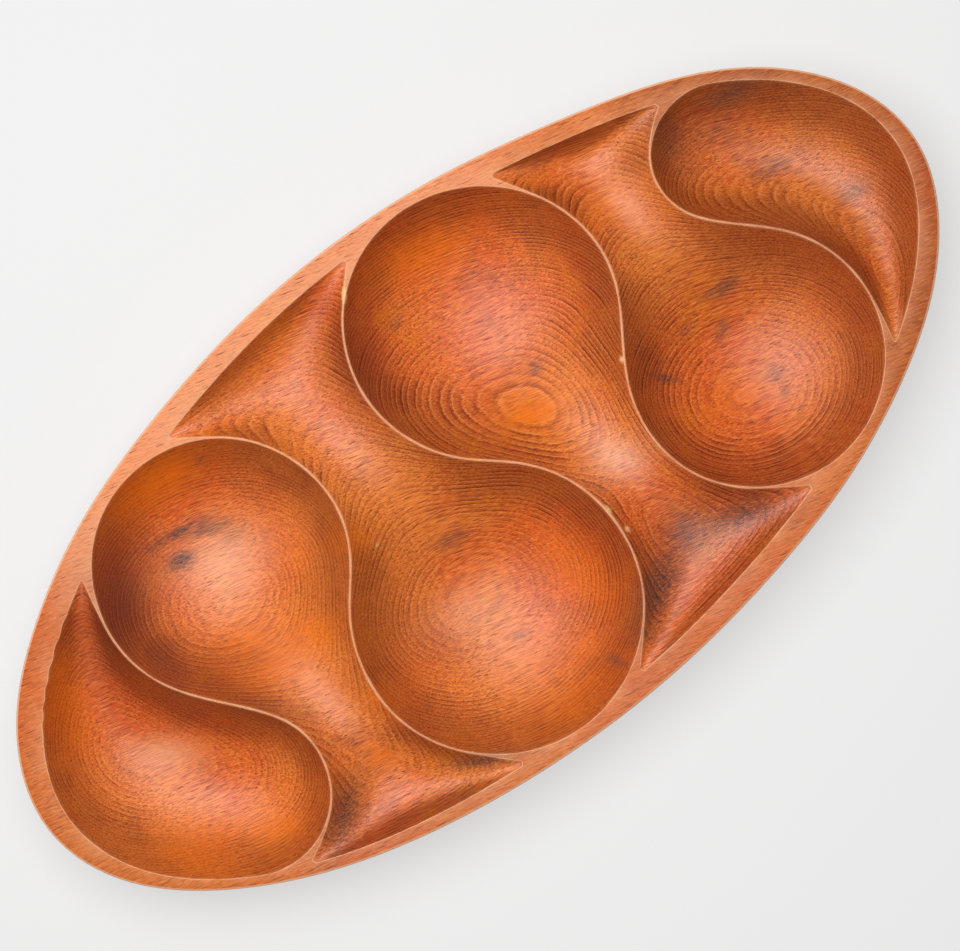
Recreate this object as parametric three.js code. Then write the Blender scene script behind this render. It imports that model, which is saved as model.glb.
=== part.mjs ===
// Carved teak snack bowl: one oval board with six hollows, parted by thin S-shaped
// crests, on four cork feet. Millimetres, +Z up, long axis along X, origin in the
// middle of the plane that the feet stand on.
import * as THREE from 'three';
import { mergeVertices } from 'three/addons/utils/BufferGeometryUtils.js';

// Board
const LENGTH = 480;
const WIDTH = 238;
const HEIGHT = 40;
const EDGE_ROUND = 2.5;
const BASE_INSET = 42;

// One long side was dressed a little flatter than the oval.
const FLAT_DEPTH = 5.5;
const FLAT_STATION = 130;
const FLAT_SPREAD = 60;

// Wood left standing round and between the hollows
const RIM_WIDTH = 8.8;
const CREST_WIDTH = 1.2;
const TIP_WIDTH = 2;
const TIP_ROUND = 1.2;
const FLOOR_THICKNESS = 6.5;

// Towards its tip a hollow leaves the crest: how far, and over what length.
const TIP_SPREAD = 3.2;
const TIP_RUN = 20;

// Turn of each round end that a crest takes to change from one bend to the other
const CREST_EASE = THREE.MathUtils.degToRad(8);

// Share of an end hollow's rim line after which it starts to run into the round end
const RIM_JOIN = 0.5;

// The hollows lie slightly askew in the board.
const RIM_TURN = THREE.MathUtils.degToRad(1);

// Hollows from the +X end to the -X end. station: centre of the round end along X, as a
// share of half the length. side: long side that the round end lies at. radius: of the
// round end, to the middle of the crest, as a share of the width. nearRim: wood between
// that radius and the outline. farRim: wood left beside the flare, or along the end of the
// board. Both are in rim widths. rimPull: how strongly the edge across the flare, or the
// tip, holds the floor up, against 1 along the crests. Less leaves a steeper wall.
const HOLLOWS = [
  { station: 0.711, side: 1, radius: 0.1265, nearRim: 0.59, farRim: 0.86, rimPull: 1 },
  { station: 0.525, side: -1, radius: 0.237, nearRim: 0.59, farRim: 1.31, rimPull: 0.45 },
  { station: 0.1867, side: 1, radius: 0.2521, nearRim: 0.55, farRim: 1.06, rimPull: 0.8 },
  { station: -0.1225, side: -1, radius: 0.2672, nearRim: 0.68, farRim: 0.98, rimPull: 0.8 },
  { station: -0.4588, side: 1, radius: 0.2361, nearRim: 0.63, farRim: 0.86, rimPull: 0.55 },
  { station: -0.6817, side: -1, radius: 0.1496, nearRim: 0.5, farRim: 1.14, rimPull: 1 },
].map(({ station, side, radius, nearRim, farRim, rimPull }) => ({
  station: (station * LENGTH) / 2,
  side,
  radius: radius * WIDTH,
  nearRim: nearRim * RIM_WIDTH,
  farRim: farRim * RIM_WIDTH,
  rimPull,
}));

// Depth of the hollows: how far the deepest place of the widest bowl lies from its edge, by
// the averaged distance, as a share of its radius, and how much steeper than the mean slope
// to that place the walls are at the edge.
const DEEPEST_SHARE = 0.444;
const EDGE_STEEPNESS = 1.52;

// A flared hollow keeps these shares of its depth at the neck and in the flare. Its floor
// rises and falls between these distances, in radii of the round end from its centre.
const NECK_SHARE = 0.42;
const FLARE_SHARE = 0.68;
const NECK_RISE = [0.2, 1.45];
const FLARE_FALL = [1.5, 2.1];

// Cork feet
const FOOT_DIAMETER = 16;
const FOOT_HEIGHT = 2;
const FOOT_INSET = 18;

// Fineness of the faceted surfaces
const OUTLINE_STEPS = 96;
const EDGE_STEPS = 3;
const BELLY_STEPS = 6;
const ARC_STEPS = 14;
const EASE_STEPS = 5;
const CROSS_STEPS = 16;
const FOOT_STEPS = 32;
const SEARCH_STEPS = 2000;
const HALVINGS = 40;
const WELD = 1e-3;

const TURN = 2 * Math.PI;
const MIDDLE = new THREE.Vector2(0, 0);
const BOWL_DEPTH = HEIGHT - FOOT_HEIGHT - FLOOR_THICKNESS;
const WIDEST_RADIUS = Math.max(...HOLLOWS.map((hollow) => hollow.radius));
const EDGE_SLOPE = (EDGE_STEEPNESS * BOWL_DEPTH) / (DEEPEST_SHARE * WIDEST_RADIUS);
const CURVE_START = BOWL_DEPTH / (2 * (EDGE_STEEPNESS - 1));

// Point of the oval that lies inset within the outline, at angle t.
function ovalPoint(inset, t) {
  return new THREE.Vector2(
    (LENGTH / 2 - inset) * Math.cos(t),
    (WIDTH / 2 - inset) * Math.sin(t),
  );
}

// Line that a hollow's flare, or an end hollow, reaches out to.
function rimPoint(rim, t) {
  return ovalPoint(rim, t).rotateAround(MIDDLE, RIM_TURN);
}

// A point in the rim line's own measure, where the line is a circle of radius 1.
function inRimMeasure(rim, point) {
  const p = point.clone().rotateAround(MIDDLE, -RIM_TURN);
  return p.divide(ovalPoint(rim, Math.PI / 4)).multiplyScalar(Math.SQRT1_2);
}

function aroundCentre(centre, radius, angle) {
  return new THREE.Vector2(Math.cos(angle), Math.sin(angle)).multiplyScalar(radius).add(centre);
}

// Where a function that starts positive falls to zero.
function crossing(value, from, to) {
  let low = from;
  let high = to;
  for (let i = 0; i < HALVINGS; i += 1) {
    const middle = (low + high) / 2;
    if (value(middle) > 0) {
      low = middle;
    } else {
      high = middle;
    }
  }
  return low;
}

// Sweep from one angle to another in the given sense, between 0 and a full turn.
function sweep(from, to, sense) {
  return THREE.MathUtils.euclideanModulo((to - from) * sense, TURN);
}

// Angle, out of many, at which the oval comes nearest to a point.
function nearestAngle(point, curve) {
  let best = 0;
  let least = Infinity;
  for (let i = 0; i < SEARCH_STEPS; i += 1) {
    const t = (TURN * i) / SEARCH_STEPS;
    const distance = point.distanceTo(curve(t));
    if (distance < least) {
      least = distance;
      best = t;
    }
  }
  return { angle: best, distance: least };
}

// Each round end stands its rim away from the outline. Neighbours that stand closer
// than their radii share the distance between them.
function placeHollows() {
  const outline = (t) => ovalPoint(0, t);
  const placed = HOLLOWS.map((hollow) => {
    const { station, side, radius, nearRim } = hollow;
    const clear = (y) =>
      nearestAngle(new THREE.Vector2(station, side * y), outline).distance - radius - nearRim;
    const centre = new THREE.Vector2(station, side * crossing(clear, 0, WIDTH / 2));
    return { ...hollow, centre };
  });
  return placed.map((own, i) => {
    const shares = [placed[i - 1], placed[i + 1]]
      .filter((next) => next)
      .map((next) => own.centre.distanceTo(next.centre) / (own.radius + next.radius));
    return { ...own, radius: own.radius * Math.min(1, ...shares) };
  });
}

// Points of an arc from one angle to another.
function arcPoints(centre, radius, from, to, steps) {
  return Array.from({ length: steps + 1 }, (_, i) =>
    aroundCentre(centre, radius, from + ((to - from) * i) / steps),
  );
}

// Smooth run from the end of one row of points to the start of another.
function easedRun(before, after) {
  const from = before.at(-1);
  const to = after[0];
  const reach = from.distanceTo(to) / 3;
  const leaving = from.clone().sub(before.at(-2)).setLength(reach).add(from);
  const arriving = to.clone().sub(after[1]).setLength(reach).add(to);
  return new THREE.CubicBezierCurve(from, leaving, arriving, to).getPoints(EASE_STEPS);
}

// Wall of a hollow along the crest that it shares with a neighbour: round the outside of
// the neighbour's end from the tip, over to the other bend, then along its own round end.
// hand: 1 where the neighbour lies towards +X, -1 towards -X.
function crestWall(own, next, hand, ownSweep) {
  const sense = own.side * hand;
  const across = next.centre.clone().sub(own.centre);
  const lean = Math.acos(Math.min(1, (own.radius + next.radius) / across.length()));
  const tangent = across.angle() + sense * lean;
  const outer = next.radius + CREST_WIDTH / 2;
  const inner = own.radius - CREST_WIDTH / 2;
  const start = tangent + Math.PI;
  const rim = (t) => rimPoint(own.farRim, t);
  const nearest = rim(nearestAngle(next.centre, rim).angle);
  const farthest = sweep(start, nearest.sub(next.centre).angle(), sense);
  const tipRadius = outer + TIP_SPREAD + TIP_WIDTH;
  const tipAt = (s) => aroundCentre(next.centre, tipRadius, start + sense * s);
  const room = (s) => 1 - inRimMeasure(own.farRim, tipAt(s)).length();
  const tipSweep = crossing(room, 0, farthest);
  const ease = sense * CREST_EASE;
  const cornerAngle = tangent + sense * ownSweep(tangent, sense);
  const aroundNext = Array.from({ length: ARC_STEPS + 1 }, (_, i) => {
    const s = THREE.MathUtils.lerp(tipSweep, CREST_EASE, i / ARC_STEPS);
    const leaving = THREE.MathUtils.clamp(1 - ((tipSweep - s) * outer) / TIP_RUN, 0, 1);
    return aroundCentre(next.centre, outer + TIP_SPREAD * leaving ** 2, start + sense * s);
  });
  const alongOwn = arcPoints(own.centre, inner, tangent + ease, cornerAngle, ARC_STEPS);
  const between = easedRun(aroundNext, alongOwn).slice(1, -1);
  const points = [...aroundNext, ...between, ...alongOwn];
  return { points, rimTip: tipAt(tipSweep), cornerAngle, sense };
}

// Points along a rim line between two of its points, the short way round.
function rimStretch(rim, from, to, steps) {
  const start = inRimMeasure(rim, from).angle();
  const turn = inRimMeasure(rim, to).angle() - start;
  const span = THREE.MathUtils.euclideanModulo(turn + Math.PI, TURN) - Math.PI;
  return Array.from({ length: steps + 1 }, (_, i) => rimPoint(rim, start + (span * i) / steps));
}

// Points of a round end from one angle on, evenly spaced along the chord.
function roundStretch(own, from, turn, steps) {
  const radius = own.radius - CREST_WIDTH / 2;
  const reach = Math.sin(turn / 2);
  return Array.from({ length: steps + 1 }, (_, i) =>
    aroundCentre(own.centre, radius, from + turn / 2 + Math.asin(reach * ((2 * i) / steps - 1))),
  );
}

// Four sides of a hollow that flares out to the rim between two neighbours.
function flaredSides(own, right, left) {
  const back = (own.side * Math.PI) / 2;
  const toCorner = (tangent, sense) => sweep(tangent, back - (sense * Math.PI) / 4, sense);
  const a = crestWall(own, right, 1, toCorner);
  const b = crestWall(own, left, -1, toCorner);
  return {
    first: [a.rimTip, ...a.points],
    second: [b.rimTip, ...b.points],
    top: rimStretch(own.farRim, a.rimTip, b.rimTip, CROSS_STEPS),
    bottom: roundStretch(own, a.cornerAngle, (a.sense * Math.PI) / 2, CROSS_STEPS),
    rimPull: own.rimPull,
    shareAt: (point) => flaredShare(own, point),
  };
}

// Four sides of a hollow at an end of the board: along the crest, along the rim line,
// across the rounded tip and across the round end, which the rim line runs into.
function endSides(own, next, hand) {
  const rim = (t) => rimPoint(own.farRim, t);
  const touch = rim(nearestAngle(own.centre, rim).angle);
  const touchAngle = touch.clone().sub(own.centre).angle();
  const toCorner = (tangent, sense) => sweep(tangent, touchAngle, sense) / 2;
  const a = crestWall(own, next, hand, toCorner);
  const turn = a.sense * sweep(a.cornerAngle, touchAngle, a.sense);
  const bottom = roundStretch(own, a.cornerAngle, turn, CROSS_STEPS);
  const offset = bottom[CROSS_STEPS].clone().sub(touch);
  const steps = a.points.length - 1;
  const second = rimStretch(own.farRim, a.rimTip, touch, steps).map((p, i) =>
    p.addScaledVector(offset, THREE.MathUtils.smoothstep(i / steps, RIM_JOIN, 1)),
  );
  const alongCrest = a.points[0].clone().sub(a.points[1]).normalize();
  const alongRim = second[0].clone().sub(second[1]).normalize();
  const outward = alongCrest.add(alongRim).setLength(TIP_ROUND);
  const top = Array.from({ length: CROSS_STEPS + 1 }, (_, i) => {
    const across = a.points[0].clone().lerp(second[0], i / CROSS_STEPS);
    return across.addScaledVector(outward, Math.sin((Math.PI * i) / CROSS_STEPS));
  });
  return { first: a.points, second, top, bottom, rimPull: own.rimPull, shareAt: () => 1 };
}

// Closed edge of a hollow, round its four sides.
function edgeOf({ first, second, top, bottom }) {
  return [
    ...top.slice(0, -1),
    ...second.slice(0, -1),
    ...bottom.slice(1).reverse(),
    ...first.slice(1).reverse(),
  ];
}

// Distance to a hollow's edge, averaged over the whole edge by the inverse square. Beside a
// straight edge it is the plain distance, and where two walls meet it runs round. The first
// pieces of the edge are those across the flare or the tip.
function softDistance(point, edge, rimPull) {
  let sum = 0;
  edge.forEach((start, i) => {
    const from = start.clone().sub(point);
    const to = edge[(i + 1) % edge.length].clone().sub(point);
    const spread = THREE.MathUtils.clamp(from.angleTo(to), WELD, Math.PI - WELD);
    const share = (spread * from.distanceTo(to)) / (Math.sin(spread) * from.length() * to.length());
    sum += (i < CROSS_STEPS ? rimPull : 1) * share;
  });
  return Math.PI / sum;
}

// Depth of a hollow at a distance from its edge: steep at the edge, flatter farther in.
function dishDepth(distance) {
  return Math.sqrt(CURVE_START ** 2 + 2 * CURVE_START * EDGE_SLOPE * distance) - CURVE_START;
}

// Share of its depth that a flared hollow has at a point.
function flaredShare(own, point) {
  const along = (own.side * (own.centre.y - point.y)) / own.radius;
  const neck = THREE.MathUtils.smoothstep(along, ...NECK_RISE);
  const flare = THREE.MathUtils.smoothstep(along, ...FLARE_FALL);
  return 1 - (1 - NECK_SHARE) * neck + (FLARE_SHARE - NECK_SHARE) * flare;
}

// The flatter long side, as a shift of every point of the board towards the middle.
function onBoard(point, z) {
  const reach = Math.max(0, point.y) / (WIDTH / 2);
  const along = (point.x - FLAT_STATION) / FLAT_SPREAD;
  const y = point.y - FLAT_DEPTH * reach ** 2 * Math.exp(-(along ** 2));
  return new THREE.Vector3(point.x, y, z);
}

// Carved surface of a hollow, as rows of points between its four sides.
function hollowRows(sides) {
  const { first, second, top, bottom, rimPull, shareAt } = sides;
  const edge = edgeOf(sides);
  const rows = first.length - 1;
  const columns = top.length - 1;
  const bulge = (side, i) =>
    side[i].clone().sub(side[0].clone().lerp(side[columns], i / columns));
  return first.map((from, j) =>
    top.map((_, i) => {
      const v = j / rows;
      const p = from
        .clone()
        .lerp(second[j], i / columns)
        .addScaledVector(bulge(top, i), (1 - v) ** 2)
        .addScaledVector(bulge(bottom, i), v ** 2);
      const inside = i > 0 && i < columns && j > 0 && j < rows;
      const depth = inside ? shareAt(p) * dishDepth(softDistance(p, edge, rimPull)) : 0;
      return onBoard(p, HEIGHT - depth);
    }),
  );
}

// Closed rings of the outside, from the edge of the top down to the base.
function outsideRings() {
  const belly = HEIGHT - EDGE_ROUND - FOOT_HEIGHT;
  const section = [];
  for (let i = 0; i <= EDGE_STEPS; i += 1) {
    const angle = (Math.PI / 2) * (i / EDGE_STEPS);
    const inset = EDGE_ROUND * (1 - Math.sin(angle));
    section.push([inset, HEIGHT - EDGE_ROUND * (1 - Math.cos(angle))]);
  }
  for (let i = 1; i <= BELLY_STEPS; i += 1) {
    const angle = (Math.PI / 2) * (i / BELLY_STEPS);
    const inset = BASE_INSET * (1 - Math.cos(angle));
    section.push([inset, FOOT_HEIGHT + belly * (1 - Math.sin(angle))]);
  }
  return section.map(([inset, z]) =>
    Array.from({ length: OUTLINE_STEPS }, (_, i) =>
      onBoard(ovalPoint(inset, (TURN * i) / OUTLINE_STEPS), z),
    ),
  );
}

// Triangles of a net of rows, each cell split along its shorter diagonal.
function netTriangles(rows) {
  const triangles = [];
  for (let j = 0; j + 1 < rows.length; j += 1) {
    for (let i = 0; i + 1 < rows[j].length; i += 1) {
      const a = rows[j][i];
      const b = rows[j][i + 1];
      const c = rows[j + 1][i + 1];
      const d = rows[j + 1][i];
      if (a.distanceTo(c) < b.distanceTo(d)) {
        triangles.push([a, b, c], [a, c, d]);
      } else {
        triangles.push([a, b, d], [b, c, d]);
      }
    }
  }
  return triangles;
}

// Triangles of a flat face with holes.
function faceTriangles(contour, holes) {
  const points = [contour, ...holes].flat();
  return THREE.ShapeUtils.triangulateShape(contour, holes).map((corners) =>
    corners.map((corner) => points[corner]),
  );
}

// Triangles turned so that they face up, or down, seen from above.
function facing(triangles, up) {
  return triangles.map((triangle) =>
    THREE.ShapeUtils.isClockWise(triangle) === up ? triangle.toReversed() : triangle,
  );
}

function closedGeometry(triangles) {
  const geometry = new THREE.BufferGeometry().setFromPoints(triangles.flat());
  return mergeVertices(geometry, WELD);
}

function carvedBoard() {
  const placed = placeHollows();
  const hollows = placed.map((own, i) => {
    const right = placed[i - 1];
    const left = placed[i + 1];
    if (right && left) {
      return flaredSides(own, right, left);
    }
    return right ? endSides(own, right, 1) : endSides(own, left, -1);
  });
  const rings = outsideRings();
  const edges = hollows.map((sides) => edgeOf(sides).map((p) => onBoard(p, HEIGHT)));
  const skin = rings.map((ring) => [...ring, ring[0]]);
  return closedGeometry([
    ...facing(faceTriangles(rings[0], edges), true),
    ...hollows.flatMap((sides) => facing(netTriangles(hollowRows(sides)), true)),
    ...netTriangles(skin.toReversed()),
    ...facing(faceTriangles(rings.at(-1), []), false),
  ]);
}

function corkFoot() {
  const radius = FOOT_DIAMETER / 2;
  return new THREE.CylinderGeometry(radius, radius, FOOT_HEIGHT, FOOT_STEPS).rotateX(Math.PI / 2);
}

const oiledTeak = new THREE.MeshStandardMaterial({ color: 0xb8642f, roughness: 0.42, metalness: 0 });
const cork = new THREE.MeshStandardMaterial({ color: 0xb58a5c, roughness: 0.95, metalness: 0 });

const snackBowl = new THREE.Group();
const board = new THREE.Mesh(carvedBoard(), oiledTeak);
board.name = 'carved_board';
snackBowl.add(board);

const footPlace = ovalPoint(BASE_INSET + FOOT_INSET, Math.PI / 4);
for (const [depthName, depthSide] of [['front', -1], ['back', 1]]) {
  for (const [endName, endSide] of [['left', -1], ['right', 1]]) {
    const foot = new THREE.Mesh(corkFoot(), cork.clone());
    foot.name = `cork_foot_${depthName}_${endName}`;
    foot.position.set(endSide * footPlace.x, depthSide * footPlace.y, FOOT_HEIGHT / 2);
    snackBowl.add(foot);
  }
}

export default snackBowl;
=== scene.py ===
"""Carved snack bowl: one oval teak board with six hollows, on four cork feet."""

import math

import bpy
import mathutils
import numpy as np
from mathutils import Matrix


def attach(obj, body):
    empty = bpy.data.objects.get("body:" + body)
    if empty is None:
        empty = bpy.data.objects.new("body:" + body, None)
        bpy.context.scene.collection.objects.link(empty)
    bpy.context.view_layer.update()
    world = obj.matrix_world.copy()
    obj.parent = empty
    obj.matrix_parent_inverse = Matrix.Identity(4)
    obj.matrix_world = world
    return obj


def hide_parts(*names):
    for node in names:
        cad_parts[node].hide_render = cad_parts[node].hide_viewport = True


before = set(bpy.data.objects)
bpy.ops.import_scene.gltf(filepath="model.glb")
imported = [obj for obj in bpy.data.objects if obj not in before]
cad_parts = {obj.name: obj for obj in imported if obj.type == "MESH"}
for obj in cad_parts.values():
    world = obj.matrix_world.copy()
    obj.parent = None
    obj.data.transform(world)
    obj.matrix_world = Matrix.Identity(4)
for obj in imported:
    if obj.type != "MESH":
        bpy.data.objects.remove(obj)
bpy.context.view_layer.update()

MM = 0.001

# Board, in millimetres, laid out as the solid that it replaces, with a finer edge and crests.
LENGTH = 480
WIDTH = 238
HEIGHT = 40
EDGE_ROUND = 1.3
BASE_INSET = 42
FOOT_HEIGHT = 2
FLOOR_THICKNESS = 6.5

# One long side is flatter than the oval: by how much, where along it, and over what spread.
FLAT_DEPTH = 5.5
FLAT_STATION = 130
FLAT_SPREAD = 60

# Rim and crests. A crest is an arc, an ease over an angle and an arc, and over its last run it
# spreads towards the tip of a hollow. A tip has a width, and in an end hollow it is rounded.
# From a share of its length on, an end hollow's rim side runs in to the round end.
RIM_WIDTH = 8.8
RIM_TURN = math.radians(1)
CREST_WIDTH = 0.55
CREST_EASE = math.radians(8)
TIP_WIDTH = 2
TIP_SPREAD = 3.2
TIP_RUN = 20
TIP_ROUND = 1.2
RIM_JOIN = 0.5

# Hollows from the +X end to the -X end: station of the round end (share of half the
# length), side, radius (share of the width), near and far rim (in rim widths).
HOLLOWS = [
    (0.711, 1, 0.1265, 0.59, 0.86),
    (0.525, -1, 0.237, 0.59, 1.31),
    (0.1867, 1, 0.2521, 0.55, 1.06),
    (-0.1225, -1, 0.2672, 0.68, 0.98),
    (-0.4588, 1, 0.2361, 0.63, 0.86),
    (-0.6817, -1, 0.1496, 0.5, 1.14),
]

# Fineness of the surfaces. Rows and columns of a hollow are crowded towards its edge.
FLARED_ROWS, FLARED_COLUMNS = 168, 80
END_ROWS, END_COLUMNS = 130, 64
ROW_CROWDING, COLUMN_CROWDING = 0.8, 0.85
OUTLINE_STEPS = 480
EDGE_STEPS = 6
BELLY_STEPS = 14
DENSE = 400
CURVE_POINTS = 4000
HALVINGS = 40
POINTS_AT_ONCE = 2000
TINY = 1e-9
WELD = 0.002
CREASE = math.radians(50)

# Rounding that use has given to the edges of the hollows, and how far in and how much at
# the outer end of the strip they are rubbed
EDGE_DROP = 0.08
EDGE_SOFT = 0.25
EDGE_STRIP = (0.07, 0.14, 0.21)
LIP_REACH = 0.26
LIP_LEAST = 0.3

# Chatter that the cutter left along the rim of the last hollow, beside its tip
CHATTER_DEPTH = 0.35
CHATTER_LENGTH = 9
CHATTER_STRETCH = (0.03, 0.1, 0.26, 0.34)

# Slow wander of a hand-led cutter: length, direction and start of each wave
WANDER = 0.15
WANDER_WAVES = ((118, 0.4, 0.3), (83, 2.1, 1.7), (67, 1.2, 4.1))

# How strongly the edge across the flare holds the floor up, by hollow: less is steeper.
RIM_PULL = (1, 0.45, 0.8, 0.8, 0.55, 1)

# A flared hollow keeps these shares of its depth at the neck and in the flare. Its floor
# rises and falls between these distances, in radii of the round end from its centre. Over
# the given reach every hollow runs out to a smaller share at its tips.
NECK_SHARE = 0.42
FLARE_SHARE = 0.68
TIP_SHARE = 0.45
TIP_REACH = 30
NECK_RISE = (0.2, 1.45)
FLARE_FALL = (1.5, 2.1)

# Every hollow has one curve of depth: this steep at its edge, and as deep as the floor
# allows where the widest bowl is farthest from its edge.
EDGE_SLOPE = math.tan(math.radians(59.5))
DEEPEST_SHARE = 0.444
FARTHEST_IN = DEEPEST_SHARE * max(radius for _, _, radius, _, _ in HOLLOWS) * WIDTH
BOWL_DEPTH = HEIGHT - FOOT_HEIGHT - FLOOR_THICKNESS
CURVE_START = BOWL_DEPTH**2 / (2 * (EDGE_SLOPE * FARTHEST_IN - BOWL_DEPTH))


def smooth(value, low, high):
    """Soft step from 0 to 1 between two values."""
    t = np.clip((value - low) / (high - low), 0, 1)
    return t * t * (3 - 2 * t)


def around(centre, radius, angle):
    """Points of a circle."""
    angle = np.asarray(angle)
    return np.stack([np.cos(angle), np.sin(angle)], -1) * radius + centre


def angle_of(vector):
    return math.atan2(vector[1], vector[0])


def turned(points, angle):
    c, s = math.cos(angle), math.sin(angle)
    return points @ np.array([[c, s], [-s, c]])


def oval(inset, t):
    """Points of the outline, drawn in by an inset."""
    t = np.asarray(t)
    return np.stack([(LENGTH / 2 - inset) * np.cos(t), (WIDTH / 2 - inset) * np.sin(t)], -1)


def rim_line(rim, t):
    """Points of the line where a rim of this width ends, slightly turned in the outline."""
    return turned(oval(rim, t), RIM_TURN)


def in_rim_measure(rim, point):
    """A point in half axes of a rim line, so that points of the line are 1 from the middle."""
    return turned(point, -RIM_TURN) / [LENGTH / 2 - rim, WIDTH / 2 - rim]


def nearest(point, curve):
    """Point of a closed curve that lies nearest, and its distance."""
    points = curve(np.linspace(0, 2 * math.pi, CURVE_POINTS, endpoint=False))
    distance = np.linalg.norm(points - point, axis=1)
    best = distance.argmin()
    return points[best], distance[best]


def crossing(value, low, high):
    """Where a function that starts positive falls to zero."""
    for _ in range(HALVINGS):
        middle = (low + high) / 2
        low, high = (middle, high) if value(middle) > 0 else (low, middle)
    return low


def sweep(start, end, sense):
    """Angle from one direction to another, turning in the given sense."""
    return ((end - start) * sense) % (2 * math.pi)


def place_hollows():
    """Round ends, each its near rim away from the outline, none across its neighbour."""
    placed = []
    for station, side, radius, near, far in HOLLOWS:
        x = station * LENGTH / 2
        reach = radius * WIDTH + near * RIM_WIDTH
        y = crossing(
            lambda y: nearest(np.array([x, side * y]), lambda t: oval(0, t))[1] - reach, 0, WIDTH / 2
        )
        placed.append({
            "centre": np.array([x, side * y]),
            "side": side,
            "radius": radius * WIDTH,
            "far": far * RIM_WIDTH,
        })
    shared = []
    for i, own in enumerate(placed):
        share = 1.0
        for k in (i - 1, i + 1):
            if 0 <= k < len(placed):
                apart = np.linalg.norm(own["centre"] - placed[k]["centre"])
                share = min(share, apart / (own["radius"] + placed[k]["radius"]))
        shared.append(own["radius"] * share)
    for own, radius in zip(placed, shared):
        own["radius"] = radius
    return placed


def crest_wall(own, other, hand, own_sweep):
    """Wall along the crest shared with a neighbour, from the flare's tip to the round end."""
    sense = own["side"] * hand
    across = other["centre"] - own["centre"]
    lean = math.acos(min(1, (own["radius"] + other["radius"]) / np.linalg.norm(across)))
    tangent = angle_of(across) + sense * lean
    outer = other["radius"] + CREST_WIDTH / 2
    inner = own["radius"] - CREST_WIDTH / 2
    start = tangent + math.pi
    close, _ = nearest(other["centre"], lambda t: rim_line(own["far"], t))
    farthest = sweep(start, angle_of(close - other["centre"]), sense)

    def tip_at(s):
        return around(other["centre"], outer + TIP_SPREAD + TIP_WIDTH, start + sense * s)

    tip = crossing(lambda s: 1 - np.linalg.norm(in_rim_measure(own["far"], tip_at(s))), 0, farthest)
    ease = sense * CREST_EASE
    corner = tangent + sense * own_sweep(tangent, sense)
    left = np.linspace(tip, CREST_EASE, DENSE)[:, None]
    away = np.clip(1 - (tip - left) * outer / TIP_RUN, 0, 1) ** 2
    first = around(other["centre"], outer + TIP_SPREAD * away, start + sense * left[:, 0])
    last = around(own["centre"], inner, np.linspace(tangent + ease, corner, DENSE))
    a, d = first[-1], last[0]
    reach = np.linalg.norm(d - a) / 3
    b = a + reach * (a - first[-2]) / np.linalg.norm(a - first[-2])
    c = d + reach * (d - last[1]) / np.linalg.norm(d - last[1])
    t = np.linspace(0, 1, DENSE // 4)[1:-1, None]
    between = a * (1 - t) ** 3 + 3 * b * t * (1 - t) ** 2 + 3 * c * t**2 * (1 - t) + d * t**3
    return np.concatenate([first, between, last]), tip_at(tip), corner, sense


def rim_stretch(rim, start, end, shares):
    """Points along a rim line between two of its points, the short way round."""
    a = angle_of(in_rim_measure(rim, start))
    turn = (angle_of(in_rim_measure(rim, end)) - a + math.pi) % (2 * math.pi) - math.pi
    return rim_line(rim, a + turn * shares)


def round_stretch(own, start, turn, shares):
    """Points of a round end, spaced along its chord."""
    bow = start + turn / 2 + np.arcsin(math.sin(turn / 2) * (2 * shares - 1))
    return around(own["centre"], own["radius"] - CREST_WIDTH / 2, bow)


def spaced(points, shares):
    """A row of points, spaced anew by shares of its length."""
    steps = np.linalg.norm(np.diff(points, axis=0), axis=1)
    along = np.concatenate([[0], np.cumsum(steps)])
    at = shares * along[-1]
    return np.stack([np.interp(at, along, points[:, k]) for k in (0, 1)], -1)


def crowded(steps, crowding):
    """Shares from 0 to 1 that lie closer together towards both ends."""
    s = np.linspace(0, 1, steps + 1)
    return s - crowding * np.sin(2 * math.pi * s) / (2 * math.pi)


def flared_sides(own, right, left):
    """The four sides of a flared hollow, from the flare's rim down to the round end."""
    back = own["side"] * math.pi / 2

    def to_corner(tangent, sense):
        return sweep(tangent, back - sense * math.pi / 4, sense)

    rows = crowded(FLARED_ROWS, ROW_CROWDING)
    columns = crowded(FLARED_COLUMNS, COLUMN_CROWDING)
    a, a_tip, a_corner, sense = crest_wall(own, right, 1, to_corner)
    b, b_tip, _, _ = crest_wall(own, left, -1, to_corner)
    return {
        "first": spaced(np.concatenate([[a_tip], a]), rows),
        "second": spaced(np.concatenate([[b_tip], b]), rows),
        "top": rim_stretch(own["far"], a_tip, b_tip, columns),
        "bottom": round_stretch(own, a_corner, sense * math.pi / 2, columns),
        "rows": rows,
        "columns": columns,
    }


def chatter(line, rows):
    """Ripple across a line over part of its length."""
    run = np.concatenate([[0], np.cumsum(np.linalg.norm(np.diff(line, axis=0), axis=1))])
    rise, full, fade, end = CHATTER_STRETCH
    swell = smooth(rows, rise, full) * (1 - smooth(rows, fade, end))
    along = np.gradient(line, axis=0)
    across = np.stack([along[:, 1], -along[:, 0]], -1) / np.linalg.norm(along, axis=1)[:, None]
    ripple = np.sin(run * 2 * math.pi / CHATTER_LENGTH + np.sin(run / CHATTER_LENGTH))
    return across * (CHATTER_DEPTH * swell * ripple)[:, None]


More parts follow.
